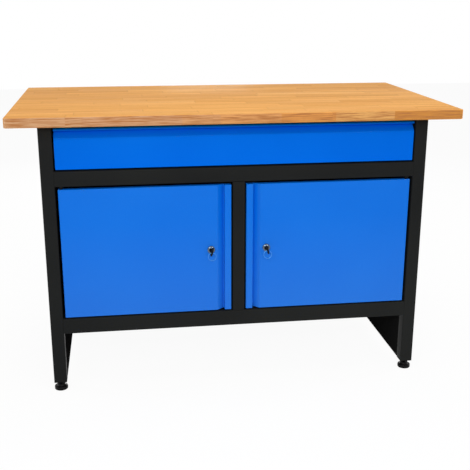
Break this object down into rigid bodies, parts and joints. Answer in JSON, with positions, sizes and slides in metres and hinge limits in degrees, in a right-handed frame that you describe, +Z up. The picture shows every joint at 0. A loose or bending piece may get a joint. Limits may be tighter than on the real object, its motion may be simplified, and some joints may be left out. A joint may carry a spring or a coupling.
{
  "type": "workbench with cabinet doors",
  "caption": "Workbench with a laminated hardwood top on a steel frame, a wide drawer, and a cabinet with lockable hinged doors and levelling feet.",
  "frame": {"origin": "on the floor, under the middle of the worktop", "axes": "+X to the right along the bench as seen from the front, +Y to the back, +Z up"},
  "size_m": [1.365, 0.75, 0.887],
  "materials": {
    "hardwood": "oiled edge-glued staves",
    "black_powder": "satin black powder coat",
    "blue_powder": "semi-gloss blue powder coat",
    "zinc_steel": "bright zinc plate",
    "chrome": "polished chrome",
    "key_steel": "nickel plate, dulled by handling",
    "black_plastic": "moulded black plastic"
  },
  "bodies": {
    "frame": {"back_panel": "black_powder", "bottom_rail": "black_powder", "cabinet_floor": "black_powder", "centre_partition": "black_powder", "centre_post": "black_powder", "front_left_leg": "black_powder", "front_left_leg_plug": "black_plastic", "front_right_leg": "black_powder", "front_right_leg_plug": "black_plastic", "left_door_lower_bush": "black_plastic", "left_door_upper_bush": "black_plastic", "left_runner_fixed": "zinc_steel", "left_shelf": "black_powder", "left_side_panel": "black_powder", "left_top_rail": "black_powder", "middle_rail": "black_powder", "rear_bottom_rail": "black_powder", "rear_left_leg": "black_powder", "rear_left_leg_plug": "black_plastic", "rear_right_leg": "black_powder", "rear_right_leg_plug": "black_plastic", "rear_top_rail": "black_powder", "right_door_lower_bush": "black_plastic", "right_door_upper_bush": "black_plastic", "right_runner_fixed": "zinc_steel", "right_shelf": "black_powder", "right_side_panel": "black_powder", "right_top_rail": "black_powder", "worktop": "hardwood"},
    "drawer": {"drawer_front": "blue_powder", "drawer_tray": "black_powder", "left_runner_inner": "zinc_steel", "right_runner_inner": "zinc_steel"},
    "left_runner": {"left_runner_middle": "zinc_steel"},
    "right_runner": {"right_runner_middle": "zinc_steel"},
    "left_door": {"left_door": "blue_powder", "left_door_lower_pin": "zinc_steel", "left_door_stiffener": "blue_powder", "left_door_upper_pin": "zinc_steel", "left_lock_housing": "chrome", "left_lock_nut": "zinc_steel"},
    "right_door": {"right_door": "blue_powder", "right_door_lower_pin": "zinc_steel", "right_door_stiffener": "blue_powder", "right_door_upper_pin": "zinc_steel", "right_lock_housing": "chrome", "right_lock_nut": "zinc_steel"},
    "left_lock": {"left_cam_screw": "zinc_steel", "left_key": "key_steel", "left_lock_cam": "zinc_steel", "left_lock_plug": "chrome"},
    "right_lock": {"right_cam_screw": "zinc_steel", "right_key": "key_steel", "right_lock_cam": "zinc_steel", "right_lock_plug": "chrome"},
    "front_left_foot": {"front_left_foot": "black_plastic"},
    "front_right_foot": {"front_right_foot": "black_plastic"},
    "rear_left_foot": {"rear_left_foot": "black_plastic"},
    "rear_right_foot": {"rear_right_foot": "black_plastic"}
  },
  "joints": [
    {"name": "drawer_slide", "type": "slide", "parent": "frame", "child": "drawer", "axis": [0, -1, 0], "range_m": [0, 0.5]},
    {"name": "left_runner_slide", "type": "slide", "parent": "frame", "child": "left_runner", "axis": [0, -1, 0], "range_m": [0, 0.25]},
    {"name": "right_runner_slide", "type": "slide", "parent": "frame", "child": "right_runner", "axis": [0, -1, 0], "range_m": [0, 0.25]},
    {"name": "left_door_hinge", "type": "hinge", "parent": "frame", "child": "left_door", "pos_m": [-0.537, -0.304, 0.456], "axis": [0, 0, -1], "range_deg": [0, 110]},
    {"name": "right_door_hinge", "type": "hinge", "parent": "frame", "child": "right_door", "pos_m": [0.537, -0.304, 0.456], "axis": [0, 0, 1], "range_deg": [0, 110]},
    {"name": "left_lock_turn", "type": "hinge", "parent": "left_door", "child": "left_lock", "pos_m": [-0.0875, -0.315, 0.455], "axis": [0, -1, 0], "range_deg": [0, 90]},
    {"name": "right_lock_turn", "type": "hinge", "parent": "right_door", "child": "right_lock", "pos_m": [0.0875, -0.315, 0.455], "axis": [0, 1, 0], "range_deg": [0, 90]},
    {"name": "front_left_foot_screw", "type": "slide", "parent": "frame", "child": "front_left_foot", "axis": [0, 0, -1], "range_m": [0, 0.02]},
    {"name": "front_right_foot_screw", "type": "slide", "parent": "frame", "child": "front_right_foot", "axis": [0, 0, -1], "range_m": [0, 0.02]},
    {"name": "rear_left_foot_screw", "type": "slide", "parent": "frame", "child": "rear_left_foot", "axis": [0, 0, -1], "range_m": [0, 0.02]},
    {"name": "rear_right_foot_screw", "type": "slide", "parent": "frame", "child": "rear_right_foot", "axis": [0, 0, -1], "range_m": [0, 0.02]}
  ],
  "couplings": [
    {"joint": "left_runner_slide", "follows": "drawer_slide", "ratio": 0.5},
    {"joint": "right_runner_slide", "follows": "drawer_slide", "ratio": 0.5}
  ]
}
